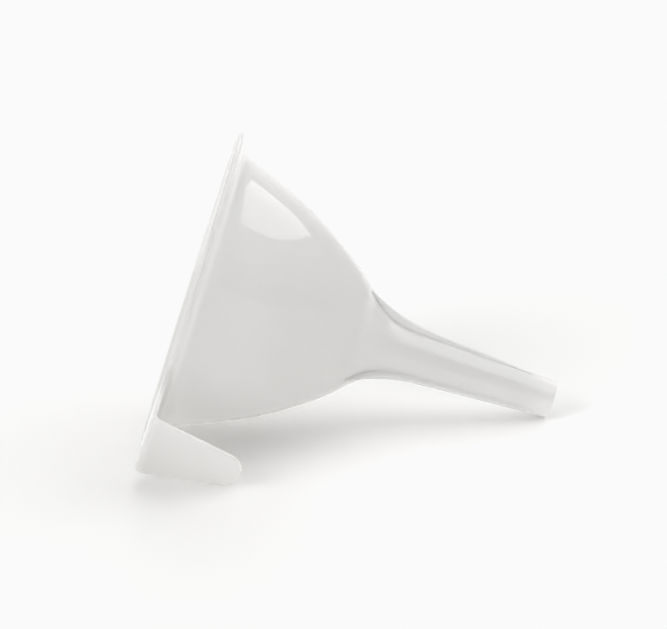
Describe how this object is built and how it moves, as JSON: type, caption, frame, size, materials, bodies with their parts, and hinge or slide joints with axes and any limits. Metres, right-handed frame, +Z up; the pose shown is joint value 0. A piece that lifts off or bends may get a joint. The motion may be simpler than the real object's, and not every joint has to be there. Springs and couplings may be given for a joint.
{
  "type": "funnel",
  "caption": "Moulded plastic funnel with a domed bowl, flared brim, tapered spout with air vent fins and a turned-down handle, lying on its side.",
  "frame": {"origin": "centre of the footprint box at the height of the surface that the funnel lies on", "axes": "+Z up, +X the way the spout points as the funnel lies on its side, handle on the -Y side"},
  "size_m": [0.153, 0.1294, 0.1121],
  "materials": {
    "white_plastic": "smooth gloss white polypropylene"
  },
  "bodies": {
    "root": {"rim_lip": "white_plastic", "rim_flange": "white_plastic", "bowl": "white_plastic", "throat": "white_plastic", "spout": "white_plastic", "spout_end": "white_plastic", "handle_bridge": "white_plastic", "handle_bend": "white_plastic", "handle_tongue": "white_plastic", "vent_rib_front": "white_plastic", "vent_rib_top": "white_plastic", "vent_rib_back": "white_plastic"}
  },
  "joints": []
}
